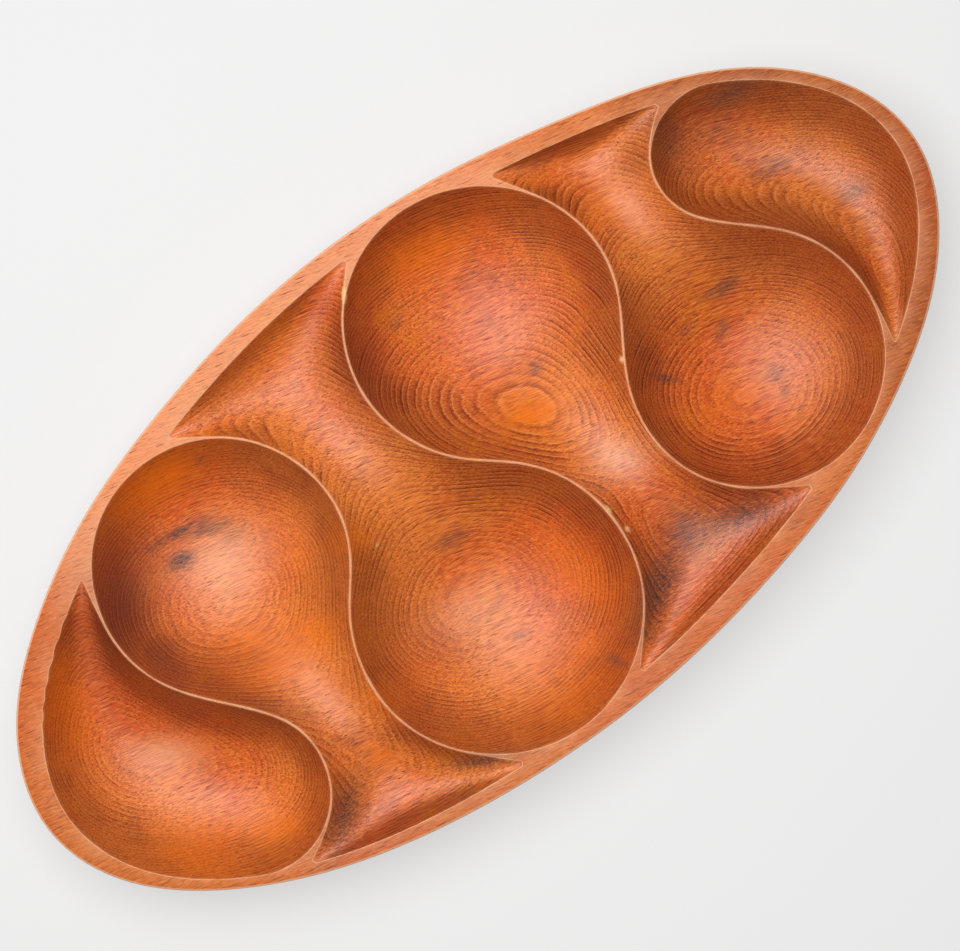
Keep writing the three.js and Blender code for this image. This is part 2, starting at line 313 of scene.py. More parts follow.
def end_sides(own, other, hand):
    """The four sides of an end hollow, which is a comma: from its tip, along the crest on one
    side and the rim on the other, to its round end."""
    touch, _ = nearest(own["centre"], lambda t: rim_line(own["far"], t))
    touch_angle = angle_of(touch - own["centre"])

    def to_corner(tangent, sense):
        return sweep(tangent, touch_angle, sense) / 2

    rows = crowded(END_ROWS, ROW_CROWDING)
    columns = crowded(END_COLUMNS, COLUMN_CROWDING)
    a, a_tip, a_corner, sense = crest_wall(own, other, hand, to_corner)
    bottom = round_stretch(own, a_corner, sense * sweep(a_corner, touch_angle, sense), columns)
    run_in = smooth(rows, RIM_JOIN, 1)[:, None] * (bottom[-1] - touch)
    first = spaced(a, rows)
    second = rim_stretch(own["far"], a_tip, touch, rows) + run_in
    if own["side"] < 0:
        second += chatter(second, rows)
    along_crest = (first[0] - first[1]) / np.linalg.norm(first[0] - first[1])
    along_rim = (second[0] - second[1]) / np.linalg.norm(second[0] - second[1])
    outward = along_crest + along_rim
    outward *= TIP_ROUND / np.linalg.norm(outward)
    share = columns[:, None]
    top = first[0] * (1 - share) + second[0] * share + outward * np.sin(math.pi * share)
    return {"first": first, "second": second, "top": top, "bottom": bottom, "rows": rows, "columns": columns}


def net_of(sides):
    """Plan of a hollow as rows of points between its four sides."""
    u = sides["columns"][None, :, None]
    v = sides["rows"][:, None, None]

    def bulge(side):
        return side - side[0] * (1 - u[0]) - side[-1] * u[0]

    between = sides["first"][:, None] * (1 - u) + sides["second"][:, None] * u
    return between + bulge(sides["top"])[None] * (1 - v) ** 2 + bulge(sides["bottom"])[None] * v**2


def edge_of(net):
    """Closed edge of a hollow, once round its net."""
    return np.concatenate([net[0, :-1], net[:-1, -1], net[-1, :0:-1], net[:0:-1, 0]])


def edge_distance(points, edge, pull):
    """Distance to a hollow's edge, averaged over the whole edge by the inverse square, so
    that the floor runs round where two walls meet. Where the edge pulls less, the wall
    below it is steeper."""
    length = np.linalg.norm(np.roll(edge, -1, axis=0) - edge, axis=1)
    result = np.empty(len(points))
    for low in range(0, len(points), POINTS_AT_ONCE):
        high = low + POINTS_AT_ONCE
        start = edge[None] - points[low:high, None]
        end = np.roll(start, -1, axis=1)
        cross = np.abs(start[..., 0] * end[..., 1] - start[..., 1] * end[..., 0])
        dot = (start * end).sum(2)
        spread = np.arctan2(cross, dot)
        in_line = 1 / np.maximum(np.abs(dot), TINY)
        shares = np.where(cross > TINY, spread / np.maximum(cross, TINY), in_line)
        result[low:high] = math.pi / (pull * length * shares).sum(1)
    return result


def dish_depth(distance):
    """Depth of a hollow by the distance to its edge, with the lip rounded by use."""
    lip = EDGE_SOFT / 2
    eased = np.sqrt((distance + lip) ** 2 + EDGE_SOFT**2) - math.hypot(lip, EDGE_SOFT)
    return EDGE_DROP + np.sqrt(CURVE_START**2 + 2 * CURVE_START * EDGE_SLOPE * eased) - CURVE_START


def deselect():
    bpy.ops.object.select_all(action="DESELECT")


def shaped_grid(name, points, **measures):
    """A grid primitive whose rows of vertices are set to the given points."""
    rows, columns = points.shape[:2]
    deselect()
    bpy.ops.mesh.primitive_grid_add(x_subdivisions=columns - 1, y_subdivisions=rows - 1, size=1)
    made = bpy.context.object
    made.name = name
    made.data.vertices.foreach_set("co", (points * MM).astype(np.float32).ravel())
    for measure, values in measures.items():
        layer = made.data.attributes.new(measure, "FLOAT", "POINT")
        layer.data.foreach_set("value", np.asarray(values, np.float32).ravel())
    return made


def neck_share(net, own):
    """Share of the depth that a flared hollow has along its length."""
    along = own["side"] * (own["centre"][1] - net[..., 1]) / own["radius"]
    neck = smooth(along, *NECK_RISE)
    flare = smooth(along, *FLARE_FALL)
    return 1 - (1 - NECK_SHARE) * neck + (FLARE_SHARE - NECK_SHARE) * flare


def tip_share(net, tip):
    """Share of the depth that a hollow has near a tip."""
    return TIP_SHARE + (1 - TIP_SHARE) * smooth(np.linalg.norm(net - tip, axis=-1), 0, TIP_REACH)


def carve_hollow(name, sides, rim_pull, own=None):
    """The carved surface of a hollow, and the strip of its rounded lip."""
    net = net_of(sides)
    edge = edge_of(net)
    pull = np.ones(len(edge))
    pull[: net.shape[1] - 1] = rim_pull
    distance = edge_distance(net.reshape(-1, 2), edge, pull).reshape(net.shape[:2])
    border = np.zeros(net.shape[:2], bool)
    border[[0, -1], :] = True
    border[:, [0, -1]] = True
    distance[border] = 0
    share = tip_share(net, net[0, 0])
    if own:
        share *= tip_share(net, net[0, -1]) * neck_share(net, own)
    depth = EDGE_DROP + (dish_depth(distance) - EDGE_DROP) * share
    surface = np.concatenate([net, (HEIGHT - depth)[..., None]], -1)
    carved = shaped_grid(name, surface, lip=np.exp(-distance / LIP_REACH), inside=np.ones(depth.shape))
    along = np.roll(edge, -1, axis=0) - np.roll(edge, 1, axis=0)
    outward = np.stack([along[:, 1], -along[:, 0]], -1)
    outward /= np.linalg.norm(outward, axis=1)[:, None]
    area = (edge[:, 0] * np.roll(edge[:, 1], -1) - edge[:, 1] * np.roll(edge[:, 0], -1)).sum()
    outward *= np.sign(area)
    rings = []
    rubbed = []
    for offset in (0, *EDGE_STRIP):
        rest = 1 - offset / EDGE_STRIP[-1]
        level = np.full((len(edge), 1), HEIGHT - EDGE_DROP * rest**2)
        ring = np.concatenate([edge + outward * offset, level], 1)
        rings.append(np.concatenate([ring, ring[:1]]))
        rubbed.append(np.full(len(ring) + 1, LIP_LEAST + (1 - LIP_LEAST) * rest))
    lip = shaped_grid(name + "_lip", np.stack(rings), lip=np.stack(rubbed))
    return [carved, lip]


def turn_outside():
    """The outside: an oval drawn out ring by ring, round the edge and down the belly."""
    deselect()
    bpy.ops.mesh.primitive_circle_add(vertices=OUTLINE_STEPS, radius=1, fill_type="NOTHING")
    outside = bpy.context.object
    outside.name = "outside"
    section = [
        (EDGE_ROUND * (1 - math.sin(a)), HEIGHT - EDGE_ROUND * (1 - math.cos(a)))
        for a in np.linspace(0, math.pi / 2, EDGE_STEPS + 1)
    ]
    belly = HEIGHT - EDGE_ROUND - FOOT_HEIGHT
    section += [
        (BASE_INSET * (1 - math.cos(a)), FOOT_HEIGHT + belly * (1 - math.sin(a)))
        for a in np.linspace(0, math.pi / 2, BELLY_STEPS + 1)[1:]
    ]
    inset, z = section[0]
    bpy.ops.object.mode_set(mode="EDIT")
    bpy.ops.mesh.select_all(action="SELECT")
    half = ((LENGTH / 2 - inset) * MM, (WIDTH / 2 - inset) * MM)
    bpy.ops.transform.resize(value=(half[0], half[1], 1))
    bpy.ops.transform.translate(value=(0, 0, z * MM))
    for next_inset, next_z in section[1:]:
        bpy.ops.mesh.extrude_region_move(TRANSFORM_OT_translate={"value": (0, 0, (next_z - z) * MM)})
        next_half = ((LENGTH / 2 - next_inset) * MM, (WIDTH / 2 - next_inset) * MM)
        bpy.ops.transform.resize(value=(next_half[0] / half[0], next_half[1] / half[1], 1))
        z, half = next_z, next_half
    bpy.ops.mesh.edge_face_add()
    bpy.ops.object.mode_set(mode="OBJECT")
    return outside


def join(pieces, name):
    """Several meshes as one, which keeps the first one's object."""
    deselect()
    for piece in pieces:
        piece.select_set(True)
    bpy.context.view_layer.objects.active = pieces[0]
    bpy.ops.object.join()
    pieces[0].name = name
    pieces[0].data.name = name
    return pieces[0]


def make_board():
    """The hollows and the outside, welded, with the flat top filled in between them."""
    placed = place_hollows()
    pieces = []
    for i, own in enumerate(placed):
        right = placed[i - 1] if i > 0 else None
        left = placed[i + 1] if i + 1 < len(placed) else None
        if right and left:
            sides = flared_sides(own, right, left)
        elif left:
            sides = end_sides(own, left, -1)
        else:
            sides = end_sides(own, right, 1)
        pieces += carve_hollow(f"hollow_{i + 1}", sides, RIM_PULL[i], own if right and left else None)
    board = join([*pieces, turn_outside()], "carved_teak_board")
    bpy.ops.object.mode_set(mode="EDIT")
    bpy.ops.mesh.select_all(action="SELECT")
    bpy.ops.mesh.remove_doubles(threshold=WELD * MM)
    bpy.ops.mesh.select_all(action="DESELECT")
    bpy.ops.mesh.select_mode(type="EDGE")
    bpy.ops.mesh.select_non_manifold(
        extend=False, use_wire=False, use_boundary=True, use_multi_face=False,
        use_non_contiguous=False, use_verts=False,
    )
    bpy.ops.mesh.fill(use_beauty=True)
    bpy.ops.mesh.select_all(action="SELECT")
    bpy.ops.mesh.normals_make_consistent(inside=False)
    bpy.ops.object.mode_set(mode="OBJECT")
    bpy.ops.object.shade_smooth_by_angle(angle=CREASE)
    return board


def dress(board):
    """One long side is a little flatter than the oval, and every line wanders slightly."""
    count = len(board.data.vertices)
    points = np.empty(count * 3, np.float32)
    board.data.vertices.foreach_get("co", points)
    points = points.reshape(-1, 3).astype(float)
    x, y = points[:, 0] / MM, points[:, 1] / MM
    reach = np.maximum(0, y) / (WIDTH / 2)
    points[:, 1] -= MM * FLAT_DEPTH * reach**2 * np.exp(-(((x - FLAT_STATION) / FLAT_SPREAD) ** 2))
    for length, lean, start in WANDER_WAVES:
        phase = 2 * math.pi * (x * math.cos(lean) + y * math.sin(lean)) / length + start
        points[:, 0] -= MM * WANDER * np.sin(phase) * math.sin(lean)
        points[:, 1] += MM * WANDER * np.sin(phase) * math.cos(lean)
    board.data.vertices.foreach_set("co", points.astype(np.float32).ravel())
    board.data.update()


board = make_board()
dress(board)

# Marks on the board, in millimetres and degrees: place along and across, half length,
# half width, turn, strength. Stains are grey brown, real stains and also painted shade in the
# corners of the flares and along some of their walls; embers are places where the oil has kept
# the wood a deep orange; pales are painted sheen; umbers are painted shade, purple brown, on
# some walls and faintly on two necks; and chips are fresh breaks along a crest.
STAINS_AND_PAINTED_SHADE = [
    (-124, 56, 6, 3.5, -16, 1.1),
    (-110, 63, 9, 4, -16, 0.7),
    (-100, 50, 6, 3, -16, 0.35),
    (-88, 83.5, 3, 2, 0, 0.5),
    (136, -4, 8, 3, -8, 0.7),
    (125, -18, 5, 3, 40, 0.6),
    (113, -8, 4, 2.5, 0, 0.45),
    (131, -48, 5, 4, -20, 0.55),
    (128, -57, 3, 2, 20, 0.5),
    (92, -19, 6, 1.3, -47, 1.0),
    (50.5, 21.6, 3.5, 2, 20, 0.8),
    (15.4, 75.4, 3, 2.5, 0, 0.45),
    (-26, -13, 9, 3, -16, 0.5),
    (-30, -65, 5, 1.3, -30, 0.7),
    (-4, -100, 4, 2, -60, 0.7),
    (-117, 66, 7, 2.2, -16, 1.0),
    (-104, 58, 8, 2, -16, 0.85),
    (-128, 68, 6, 2.5, -16, 0.55),
    (192, 59, 14, 5, -20, 0.6),
    (159, 60, 9, 16, 0, 0.4),
    (176, 52, 14, 8, -20, 0.35),
    (186, 23, 9, 4, -16, 0.6),
    (207, -8, 8, 5, -16, 0.5),
    (32, -86, 24, 9, 28, 0.8),
    (14, -98, 10, 6, -20, 0.5),
    (76, -85, 24, 8, -21, 0.75),
    (55, -77, 17, 13, 0, 0.7),
    (-138, -76, 17, 7, 32, 0.75),
    (-75, -96, 16, 3.2, -30, 0.7),
    (105, 90, 16, 4, -12, 0.3),
    (-58, 98, 22, 5, 6, 0.2),
    (-45, 103, 16, 3.5, 4, 0.25),
]
EMBERS = [
    (37.4, 6.6, 13, 6, -20, 1.0),
    (40, 5, 22, 12, -20, 0.4),
    (-124, 10, 16, 8, -30, 0.7),
    (-174, -9, 14, 6, -40, 0.4),
    (-165, -61, 14, 8, -20, 0.6),
    (-110, -66.5, 6, 5, 0, 0.8),
    (-95, -45, 12, 8, -50, 0.4),
    (-20, -85, 24, 14, -20, 0.45),
    (44, 92, 24, 10, -10, 0.7),
    (-109, 89, 26, 11, -9, 0.85),
    (8, -62, 12, 30, 10, 0.5),
    (-25, -100, 30, 8, 0, 0.5),
    (-200, 42, 10, 30, -30, 0.5),
    (-198, -48, 22, 14, -50, 0.5),
    (-88, 28, 14, 10, -30, 0.35),
    (-60, 15, 12, 8, -40, 0.4),
    (-25, -94, 34, 8, 0, 0.35),
    (-158, -62, 26, 10, -20, 0.3),
    (124, 54, 20, 12, -40, 0.45),
    (-43, 102, 20, 8, 5, 0.4),
    (100, 88, 20, 8, -10, 0.35),
    (112, -46, 20, 10, -16, 0.4),
    (-107, -29, 18, 10, -50, 0.45),
    (-113, -4, 26, 13, -10, 0.7),
]
# Painted sheen: pale patches on the floors of hollows and on a neck
PAINTED_SHEENS = [
    (-108, 46, 22, 13, -16, 0.3),
    (-183, -6, 16, 8, -40, 0.4),
    (-42, -42, 18, 12, -16, 0.2),
    (52, -33, 14, 9, -30, 0.3),
]
# Painted shade, purple brown, on some walls and faintly on two necks
PAINTED_UMBER_SHADES = [
    (-157, 56, 34, 16, 50, 0.85),
    (-140, -6, 30, 9, -59, 0.55),
    (-156, 27, 26, 10, -85, 0.6),
    (-11, 69, 30, 12, 80, 0.5),
    (-128, 4, 24, 8, -40, 0.4),
    (-62, -40, 26, 9, -60, 0.2),
    (-113, -95, 30, 5, -15, 0.4),
    (124, 54, 20, 12, -40, 0.14),
    (-107, -29, 18, 10, -50, 0.14),
]
CHIPS = [
    (6.2, 98.2, 4, 1.2, 50, 1.0),
    (81, 0, 2, 1.4, 90, 0.8),
    (35, -46, 2.4, 1.2, 90, 0.7),
    (36, -58, 1.8, 1.2, 90, 0.8),
    (-52, 6, 3, 1.2, -60, 0.5),
]
MARKS = {"stain_and_shade": STAINS_AND_PAINTED_SHADE, "ember": EMBERS, "pale": PAINTED_SHEENS, "umber": PAINTED_UMBER_SHADES, "chip": CHIPS}


def paint_marks(board, name, marks):
    """Soft ellipses, kept as one measure on the board's vertices."""
    points = np.empty(len(board.data.vertices) * 3, np.float32)
    board.data.vertices.foreach_get("co", points)
    x, y, _ = points.reshape(-1, 3).T.astype(float) / MM
    shade = np.zeros(len(x))
    for along, across, length, width, turn, strength in marks:
        c, s = math.cos(math.radians(turn)), math.sin(math.radians(turn))
        u = ((x - along) * c + (y - across) * s) / length
        v = ((y - across) * c - (x - along) * s) / width
        shade = np.maximum(shade, strength * np.exp(-(u**2 + v**2)))
    layer = board.data.attributes.new(name, "FLOAT", "POINT")
    layer.data.foreach_set("value", shade.astype(np.float32))


for name, marks in MARKS.items():
    paint_marks(board, name, marks)
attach(board, "root")
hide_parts("carved_board")


def linear(colour):
    """Linear colour of an sRGB hex value."""
    parts = [int(colour[i : i + 2], 16) / 255 for i in (1, 3, 5)]
    return (*(c / 12.92 if c <= 0.04045 else ((c + 0.055) / 1.055) ** 2.4 for c in parts), 1)


def add(tree, kind, inputs=None, **settings):
    """A node with its settings, and each input set or linked."""
    made = tree.nodes.new(kind)
    for key, value in settings.items():
        setattr(made, key, value)
    for key, value in (inputs or {}).items():
        if isinstance(value, bpy.types.NodeSocket):
            tree.links.new(value, made.inputs[key])
        else:
            made.inputs[key].default_value = value
    return made


def new_material(name):
    """An empty material and its node tree."""
    material = bpy.data.materials.new(name)
    material.use_nodes = True
    material.node_tree.nodes.clear()
    return material, material.node_tree


# Teak, in millimetres: the grain runs askew in the board, and the growth layers are arcs
# round a pith that lies far below it and dips towards one end. The layers sway and are
# slightly ragged, sag in one place, and are finer within some distance of the pith.
GRAIN_TURN = math.radians(16)
PITH_OFFSET = 35
PITH_DEPTH = 122
LAYER_DIP = 0.1
SWAY = np.array([0, 6, 2.4])
SWAY_LENGTH = 55
RAGGED_DEPTH = 0.6
SAG_STRETCH = 1.4
SAG_PLACE = (38.5, 11 * SAG_STRETCH, 0)
SAG_REACH = 60
SAG_DEPTH = 7
WIDE_LAYER = 1.6
FINE_LAYER = 1.25
FINE_WITHIN = 144
FINE_EASE = 5
UNEVEN_PER_MM = 0.3

# Brown band of a growth layer: place in the layer, and how dark the band is there. Some
# years are darker than others. A thin pale line ends the layer.
BAND = ((0.08, 0.1), (0.18, 1.0), (0.3, 0.8), (0.48, 0.3), (0.88, 0.08))
YEAR_LEAST, YEAR_MOST = 0.45, 0.95
LINE_START, LINE_FULL, LINE_SHARE = 0.84, 0.97, 0.55

# Vessels cut open along the grain: width, length, the share of them that shows, and how
# dark they are. They are drawn a little coarser than life.
VESSELS = [
    (0.45, 2.6, 0.5, 0.5),
    (0.7, 9, 0.6, 0.85),
]

# Soft patches: size, and the detail and roughness of their noise
PATCHES = {
    "faded": (13, 3, 0.5),
    "red": (75, 3, 0.5),
    "blotch": (26, 4, 0.6),
    "rubbed": (14, 5, 0.5),
}

# Streaks along the grain: how many to the millimetre, their width as a share of their
# length, and the detail and roughness of their noise. They too are coarser than life.
STREAKS = {
    "ragged": (0.7, 0.2, 3, 0.5),
    "fibre": (1.3, 0.04, 5, 0.75),
    "thread": (2.2, 0.06, 2, 0.6),
    "fleck": (1.5, 0.09, 3, 0.75),
    "hatch": (1.7, 0.17, 4, 0.7),
}

# The flat top of the rim and the crests: how far below the top it fades out, and how much
# of its own colour it shows. The tints come in between two places along or across; the two
# across are painted light on the rim's +Y side and painted shade on its -Y side.
LAND_FADE = (0.5, 0.1)
LAND_SHARE = 0.4
LAND_COLOUR = "#D67A40"
LAND_TINTS_AND_LIGHT = [
    ("across", 40, 80, "#F8B48A"),
    ("across", -50, -85, "#C87450"),
    ("along", 60, 130, "#DC7E3E"),
    ("along", 130, 175, "#863A16"),
    ("along", -150, -190, "#B0561C"),
]

# Painted highlight along the rounded outer edge of the top: how far below the top it fades out
EDGE_HIGHLIGHT_FADE = (1.6, 0.4)

TEAK_IOR = 1.52
TEAK_RELIEF = 0.3


def patches_and_streaks(tree, grain):
    """Soft patches in the wood, and streaks drawn out along its grain."""
    wood = {}
    for name, (size, detail, roughness) in PATCHES.items():
        wood[name] = add(
            tree, "ShaderNodeTexNoise",
            {"Vector": grain, "Scale": 1 / size, "Detail": detail, "Roughness": roughness},
        ).outputs[0]
    for name, (per_mm, slimness, detail, roughness) in STREAKS.items():
        drawn = add(tree, "ShaderNodeMapping", {"Vector": grain, "Scale": (slimness, 1, 1)}).outputs[0]
        wood[name] = add(
            tree, "ShaderNodeTexNoise",
            {"Vector": drawn, "Scale": per_mm, "Detail": detail, "Roughness": roughness},
        ).outputs[0]
    return wood


def layer_distance(tree, grain, ragged):
    """Distance from the pith, swayed, dipped, ragged and sagged, in millimetres."""
    sway = add(tree, "ShaderNodeTexNoise", {"Vector": grain, "Scale": 1 / SWAY_LENGTH, "Detail": 1.5})
    sway = add(
        tree, "ShaderNodeVectorMath",
        {0: sway.outputs["Color"], 1: SWAY, 2: -SWAY / 2}, operation="MULTIPLY_ADD",
    ).outputs[0]
    swayed = add(tree, "ShaderNodeVectorMath", {0: grain, 1: sway}, operation="ADD").outputs[0]
    section = add(
        tree, "ShaderNodeVectorMath",
        {0: swayed, 1: (0, 1, 1), 2: (0, PITH_OFFSET, PITH_DEPTH)}, operation="MULTIPLY_ADD",
    ).outputs[0]
    radius = add(tree, "ShaderNodeVectorMath", {0: section}, operation="LENGTH").outputs["Value"]
    dip = add(
        tree, "ShaderNodeVectorMath", {0: swayed, 1: (LAYER_DIP, 0, 0)}, operation="DOT_PRODUCT"
    ).outputs["Value"]
    layer = add(tree, "ShaderNodeMath", {0: radius, 1: dip}, operation="ADD").outputs[0]
    layer = add(
        tree, "ShaderNodeMath", {0: ragged, 1: RAGGED_DEPTH, 2: layer}, operation="MULTIPLY_ADD"
    ).outputs[0]
    sag = add(
        tree, "ShaderNodeVectorMath", {0: grain, 1: (1, SAG_STRETCH, 0)}, operation="MULTIPLY"
    ).outputs[0]
    sag = add(tree, "ShaderNodeVectorMath", {0: sag, 1: SAG_PLACE}, operation="DISTANCE").outputs["Value"]
    sag = add(
        tree, "ShaderNodeMapRange", {"Value": sag, "From Max": SAG_REACH, "To Min": -SAG_DEPTH, "To Max": 0},
        interpolation_type="SMOOTHSTEP",
    ).outputs[0]
    return add(tree, "ShaderNodeMath", {0: layer, 1: sag}, operation="ADD").outputs[0]


def growth_layers(tree, layer):
    """How far through its growth layer a place is, the layer's brown band and its pale line."""
    within = add(tree, "ShaderNodeMath", {0: layer, 1: FINE_WITHIN}, operation="SUBTRACT").outputs[0]
    fine = add(tree, "ShaderNodeMath", {0: within, 1: 0, 2: FINE_EASE}, operation="SMOOTH_MIN").outputs[0]
    count = add(tree, "ShaderNodeMath", {0: within, 1: 1 / WIDE_LAYER}, operation="MULTIPLY").outputs[0]
    count = add(
        tree, "ShaderNodeMath",
        {0: fine, 1: 1 / FINE_LAYER - 1 / WIDE_LAYER, 2: count}, operation="MULTIPLY_ADD",
    ).outputs[0]
    uneven = add(
        tree, "ShaderNodeTexNoise",
        {"W": layer, "Scale": UNEVEN_PER_MM, "Detail": 2}, noise_dimensions="1D",
    ).outputs[0]
    count = add(tree, "ShaderNodeMath", {0: uneven, 1: count}, operation="ADD").outputs[0]
    share = add(tree, "ShaderNodeMath", {0: count}, operation="FRACT").outputs[0]
    band = add(tree, "ShaderNodeValToRGB", {"Fac": share})
    stops = band.color_ramp.elements
    stops[1].color = (0, 0, 0, 1)
    for position, value in BAND:
        stops.new(position).color = (value, value, value, 1)
    year = add(tree, "ShaderNodeMath", {0: count}, operation="FLOOR").outputs[0]
    year = add(tree, "ShaderNodeTexWhiteNoise", {"W": year}, noise_dimensions="1D").outputs["Value"]
    year = add(
        tree, "ShaderNodeMapRange", {"Value": year, "To Min": YEAR_LEAST, "To Max": YEAR_MOST}
    ).outputs[0]
    band = add(tree, "ShaderNodeMath", {0: band.outputs[0], 1: year}, operation="MULTIPLY").outputs[0]
    line = add(
        tree, "ShaderNodeMapRange",
        {"Value": share, "From Min": LINE_START, "From Max": LINE_FULL, "To Max": LINE_SHARE},
    ).outputs[0]
    return share, band, line


def layers_shown(tree, facing, along, faded):
    """How far the layers show: as clear lines where a wall cuts them, and only faintly on the
    floors, towards both ends, and in some stretches."""
    shown = add(
        tree, "ShaderNodeMapRange",
        {"Value": facing, "From Min": 0.985, "From Max": 0.82, "To Min": 0.26, "To Max": 1},
    ).outputs[0]
    for source, low, high, at_low, at_high in (
        (along, -70 * MM, 40 * MM, 0.68, 1.05),
        (along, 110 * MM, 170 * MM, 1, 0.65),
        (faded, 0.36, 0.58, 0.35, 1.1),
    ):
        clear = add(
            tree, "ShaderNodeMapRange",
            {"Value": source, "From Min": low, "From Max": high, "To Min": at_low, "To Max": at_high},
        ).outputs[0]
        shown = add(tree, "ShaderNodeMath", {0: shown, 1: clear}, operation="MULTIPLY").outputs[0]
    return shown


def open_vessels(tree, grain, share):
    """Vessels cut open, which are crowded where each layer begins."""
    early = add(
        tree, "ShaderNodeMapRange",
        {"Value": share, "From Min": 0.1, "From Max": 0.75, "To Min": 1, "To Max": 0.3},
    ).outputs[0]
    pores = []
    for width, length, shown, _ in VESSELS:
        vessel = add(tree, "ShaderNodeMapping", {"Vector": grain, "Scale": (width / length, 1, 1)}).outputs[0]
        vessel = add(tree, "ShaderNodeTexVoronoi", {"Vector": vessel, "Scale": 1 / width})
        pore = add(
            tree, "ShaderNodeMapRange",
            {"Value": vessel.outputs["Distance"], "From Min": 0.4, "From Max": 0.16},
            interpolation_type="SMOOTHSTEP",
        ).outputs[0]
        chosen = add(
            tree, "ShaderNodeMapRange",
            {"Value": vessel.outputs["Color"], "From Min": 1 - shown, "From Max": 1.2 - shown},
        ).outputs[0]
        chosen = add(tree, "ShaderNodeMath", {0: chosen, 1: early}, operation="MULTIPLY").outputs[0]
        pores.append(add(tree, "ShaderNodeMath", {0: pore, 1: chosen}, operation="MULTIPLY").outputs[0])
    return pores


def heartwood_coats(tree, wood, along):
    """Heartwood that shifts between orange and red brown and is browner towards the +X end,
    with its fibres, threads and flecks. A coat is a share and the colour that it brings."""
    coats = []
    for source, low, high, depth, tint in (
        (wood["red"], 0.4, 0.62, 1, "#EE6626"),
        (wood["blotch"], 0.54, 0.68, 0.4, "#A04A2A"),
        (wood["blotch"], 0.45, 0.32, 0.65, "#F5841A"),
        (along, 80 * MM, 200 * MM, 0.3, "#A05A2C"),
        (wood["fibre"], 0.38, 0.66, 0.5, "#A84216"),
        (wood["thread"], 0.52, 0.66, 0.6, "#863410"),
        (wood["thread"], 0.46, 0.32, 0.5, "#F6A254"),
        (wood["fleck"], 0.52, 0.66, 0.55, "#8A3612"),
        (wood["fleck"], 0.46, 0.34, 0.45, "#F49C4A"),
    ):
        shade = add(
            tree, "ShaderNodeMapRange",
            {"Value": source, "From Min": low, "From Max": high, "To Max": depth},
        ).outputs[0]
        coats.append((shade, linear(tint)))
    return coats


def land_coats(tree, land, hatch, places):
    """The flat top of the rim and the crests is drier and paler, with painted light along its +Y side and
    painted shade along its -Y side, and hatched by short streaks.
    """
    land_colour_and_light = linear(LAND_COLOUR)
    # The tints across paint light on the +Y side of the rim and shade on its -Y side.
    for measure, low, high, tint in LAND_TINTS_AND_LIGHT:
        shade = add(
            tree, "ShaderNodeMapRange",
            {"Value": places[measure], "From Min": low * MM, "From Max": high * MM},
            interpolation_type="SMOOTHSTEP",
        ).outputs[0]
        land_colour_and_light = add(
            tree, "ShaderNodeMix", {"Factor": shade, 6: land_colour_and_light, 7: linear(tint)}, data_type="RGBA"
        ).outputs[2]
    coats = [(land, land_colour_and_light)]
    for low, high, depth, tint in ((0.53, 0.66, 1.2, "#86391A"), (0.46, 0.34, 0.7, "#F2AE7C")):
        shade = add(
            tree, "ShaderNodeMapRange",
            {"Value": hatch, "From Min": low, "From Max": high, "To Max": depth},
        ).outputs[0]
        shade = add(tree, "ShaderNodeMath", {0: shade, 1: land}, operation="MULTIPLY").outputs[0]
        coats.append((shade, linear(tint)))
    return coats


def mark_coats(tree, mark, fleck):
    """Pale patches of painted sheen, stains and painted shade that are stronger in the flecks, and chips
    broken up by them.
    """
    soaked = add(
        tree, "ShaderNodeMapRange",
        {"Value": fleck, "From Min": 0.36, "From Max": 0.62, "To Min": 0.45, "To Max": 1.2},
    ).outputs[0]
    stain_and_shade = add(tree, "ShaderNodeMath", {0: mark["stain_and_shade"], 1: soaked}, operation="MULTIPLY").outputs[0]
    chip = add(
        tree, "ShaderNodeMath", {0: fleck, 1: 0.9, 2: mark["chip"]}, operation="MULTIPLY_ADD"
    ).outputs[0]
    chip = add(tree, "ShaderNodeMapRange", {"Value": chip, "From Min": 0.65, "From Max": 1.15}).outputs[0]
    # Pales are painted sheen; the stain layer holds real stains and painted shade.
    return [(mark["pale"], linear("#F2C09A")), (stain_and_shade, linear("#463A38")), (chip, linear("#F2BE84"))]


def rubbed_lips_and_edge_highlight(tree, mark, rubbed, height, facing):
    """Lips of the hollows rubbed pale, here more and there less, and a painted highlight along the rounded
    outer edge.
    """
    rubbed = add(
        tree, "ShaderNodeMapRange",
        {"Value": rubbed, "From Min": 0.38, "From Max": 0.62, "To Min": 0.3, "To Max": 0.95},
    ).outputs[0]
    lip = add(tree, "ShaderNodeMath", {0: mark["lip"], 1: rubbed}, operation="MULTIPLY").outputs[0]
    # Painted highlight on the rounded outer edge of the top, outside the hollows.
    low, high = EDGE_HIGHLIGHT_FADE
    edge_highlight = add(
        tree, "ShaderNodeMapRange",
        {"Value": height, "From Min": (HEIGHT - low) * MM, "From Max": (HEIGHT - high) * MM},
    ).outputs[0]
    tilted = add(
        tree, "ShaderNodeMapRange", {"Value": facing, "From Min": 1, "From Max": 0.9, "To Max": 0.85}
    ).outputs[0]
    edge_highlight = add(tree, "ShaderNodeMath", {0: edge_highlight, 1: tilted}, operation="MULTIPLY").outputs[0]
    outer = add(tree, "ShaderNodeMath", {0: 1, 1: mark["inside"]}, operation="SUBTRACT").outputs[0]
    edge_highlight = add(tree, "ShaderNodeMath", {0: edge_highlight, 1: outer}, operation="MULTIPLY").outputs[0]
    return [(lip, linear("#F2B286")), (edge_highlight, linear("#F8BC90"))]


